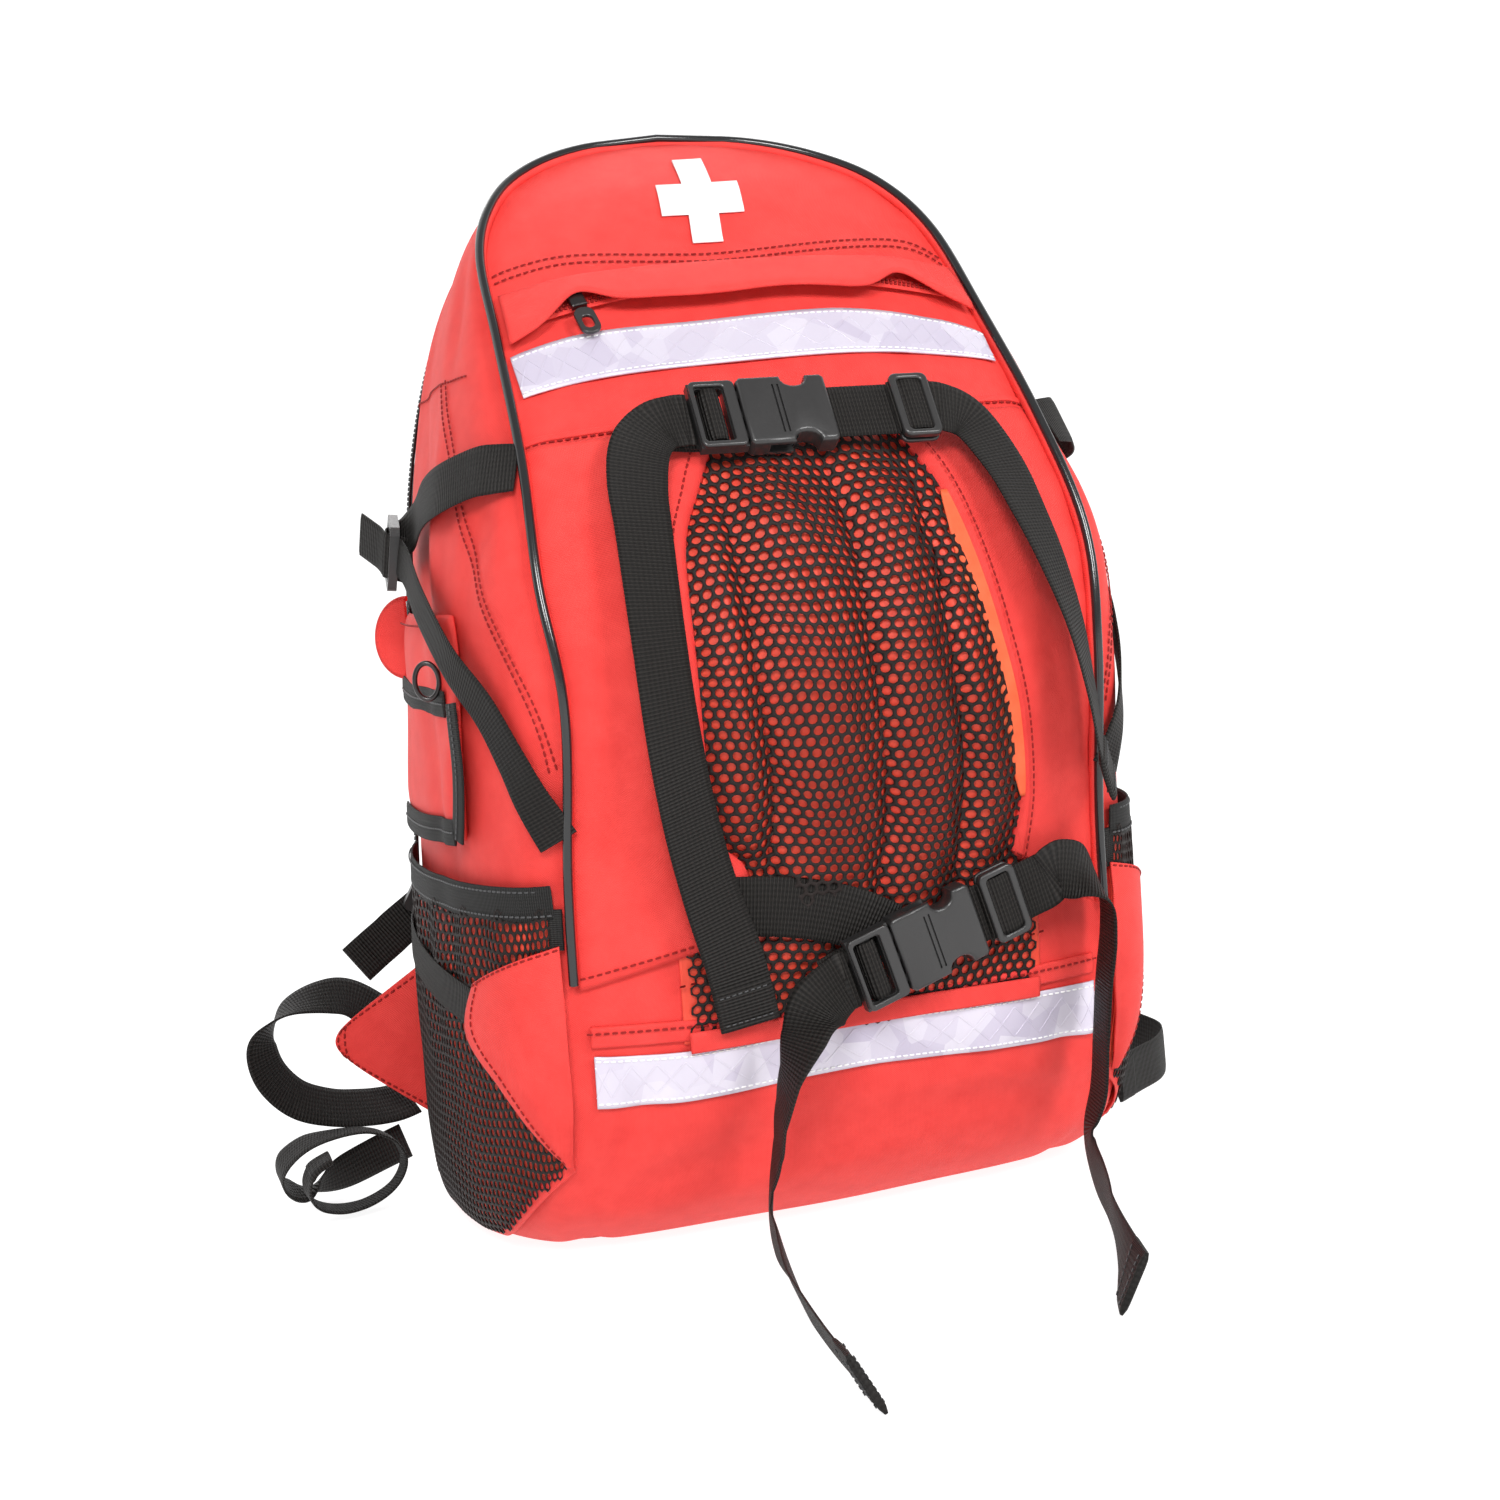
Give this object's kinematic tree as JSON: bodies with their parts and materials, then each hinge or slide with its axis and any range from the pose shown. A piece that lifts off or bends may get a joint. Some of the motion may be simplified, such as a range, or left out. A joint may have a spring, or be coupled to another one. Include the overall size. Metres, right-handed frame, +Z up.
{
  "type": "trauma backpack",
  "caption": "Soft red medical backpack with reflective bands, front mesh pocket, buckled straps, side pockets, hip belt and rear harness.",
  "frame": {"origin": "on the ground under the middle of the pack, at its flat base", "axes": "+Z up, -Y towards the pack's front, +X towards the right as seen from the front"},
  "size_m": [0.4611, 0.4593, 0.4886],
  "materials": {
    "red_fabric": "coated woven polyester, slight sheen",
    "lining_fabric": "gathered orange-red lining",
    "black_webbing": "ribbed woven webbing",
    "black_mesh": "open knitted mesh",
    "black_foam": "spacer mesh over foam",
    "black_plastic": "satin moulded plastic",
    "piping_cord": "glossy covered piping",
    "reflective_tape": "embossed silver reflective vinyl",
    "white_print": "smooth white vinyl",
    "zip_metal": "dark coated metal",
    "board": "plain stiffener board"
  },
  "bodies": {
    "pack_body": {"main_shell": "red_fabric", "front_piping": "piping_cord", "cross_patch": "white_print", "reflective_strip_upper": "reflective_tape", "reflective_strip_lower": "reflective_tape", "front_zip_tape": "black_webbing", "front_zip_flap": "red_fabric", "front_pocket_lining": "lining_fabric", "front_pocket_mesh": "black_mesh", "front_wing_left": "red_fabric", "front_wing_right": "red_fabric", "upper_buckle_female": "black_plastic", "lower_buckle_female": "black_plastic", "upper_tail_right": "black_webbing", "lower_tail_right": "black_webbing", "lower_anchor_webbing": "black_webbing", "compression_webbing_upper_left": "black_webbing", "compression_webbing_lower_left": "black_webbing", "compression_lock_left": "black_plastic", "compression_webbing_upper_right": "black_webbing", "compression_webbing_lower_right": "black_webbing", "compression_lock_right": "black_plastic", "side_mesh_pocket_left": "black_mesh", "pocket_band_left": "black_webbing", "pocket_wing_left": "red_fabric", "side_mesh_pocket_right": "black_mesh", "pocket_band_right": "black_webbing", "pocket_wing_right": "red_fabric", "side_pouch_left": "red_fabric", "main_zip_tape": "black_webbing", "inner_divider": "red_fabric"},
    "front_zip_slider": {"front_zip_slider": "zip_metal"},
    "front_zip_pull": {"front_zip_pull": "zip_metal"},
    "upper_male": {"upper_buckle_male": "black_plastic", "upper_tail_left": "black_webbing"},
    "lower_male": {"lower_buckle_male": "black_plastic", "lower_tail_left": "black_webbing"},
    "upper_slider": {"upper_web_slider": "black_plastic"},
    "lower_slider": {"lower_web_slider": "black_plastic"},
    "main_zip_left": {"main_zip_slider_left": "zip_metal"},
    "main_zip_right": {"main_zip_slider_right": "zip_metal"},
    "pouch_flap": {"side_pouch_flap_left": "red_fabric"},
    "back_panel": {"frame_sheet": "board", "back_panel_cover": "red_fabric", "back_pad": "black_foam", "harness_yoke": "black_webbing", "shoulder_strap_left": "black_foam", "shoulder_webbing_left": "black_webbing", "shoulder_lock_left": "black_plastic", "shoulder_tail_left": "black_webbing", "shoulder_strap_right": "black_foam", "shoulder_webbing_right": "black_webbing", "shoulder_lock_right": "black_plastic", "shoulder_tail_right": "black_webbing"},
    "handle": {"grab_handle": "black_webbing"},
    "hip_left": {"hip_wing_left": "red_fabric", "hip_webbing_left": "black_webbing", "hip_tail_left": "black_webbing"},
    "hip_right": {"hip_wing_right": "red_fabric", "hip_webbing_right": "black_webbing"}
  },
  "joints": [
    {"name": "back_panel_hinge", "type": "hinge", "parent": "pack_body", "child": "back_panel", "pos_m": [0, 0.0764, 0.002], "axis": [-1, 0, 0], "range_deg": [0, 70]},
    {"name": "grab_handle_hinge", "type": "hinge", "parent": "back_panel", "child": "handle", "pos_m": [0, 0.078, 0.445], "axis": [-1, 0, 0], "range_deg": [-20, 45]},
    {"name": "front_zip_slide", "type": "hinge", "parent": "pack_body", "child": "front_zip_slider", "pos_m": [0, -0.13368, 0.03465], "axis": [0, 0.9864, -0.1644], "range_deg": [0, 22]},
    {"name": "front_zip_pull_hinge", "type": "hinge", "parent": "front_zip_slider", "child": "front_zip_pull", "pos_m": [-0.0728, -0.07843, 0.39814], "axis": [-0.9887, 0.0011, -0.15], "range_deg": [0, 80]},
    {"name": "upper_buckle_release", "type": "slide", "parent": "pack_body", "child": "upper_male", "axis": [-0.9991, 0.0298, 0.0293], "range_m": [0, 0.024]},
    {"name": "lower_buckle_release", "type": "slide", "parent": "pack_body", "child": "lower_male", "axis": [-0.9565, -0.0166, -0.2914], "range_m": [0, 0.024]},
    {"name": "upper_slider_slide", "type": "slide", "parent": "pack_body", "child": "upper_slider", "axis": [0.9991, -0.0298, -0.0293], "range_m": [-0.012, 0.003]},
    {"name": "lower_slider_slide", "type": "slide", "parent": "pack_body", "child": "lower_slider", "axis": [0.9565, 0.0166, 0.2914], "range_m": [-0.004, 0]},
    {"name": "main_zip_slide_left", "type": "slide", "parent": "pack_body", "child": "main_zip_left", "axis": [0.0798, -0.0617, 0.9949], "range_m": [-0.03, 0.03]},
    {"name": "main_zip_slide_right", "type": "slide", "parent": "pack_body", "child": "main_zip_right", "axis": [-0.0798, -0.0617, 0.9949], "range_m": [-0.03, 0.03]},
    {"name": "side_pouch_flap_hinge", "type": "hinge", "parent": "pack_body", "child": "pouch_flap", "pos_m": [-0.13502, 0.04933, 0.26529], "axis": [0.0876, -0.0192, 0.996], "range_deg": [-15, 40]},
    {"name": "hip_wing_left_fold", "type": "hinge", "parent": "pack_body", "child": "hip_left", "pos_m": [-0.1415, 0.075, 0.072], "axis": [0, 0, -1], "range_deg": [0, 30]},
    {"name": "hip_wing_right_fold", "type": "hinge", "parent": "pack_body", "child": "hip_right", "pos_m": [0.1415, 0.075, 0.072], "axis": [0, 0, 1], "range_deg": [0, 30]}
  ]
}
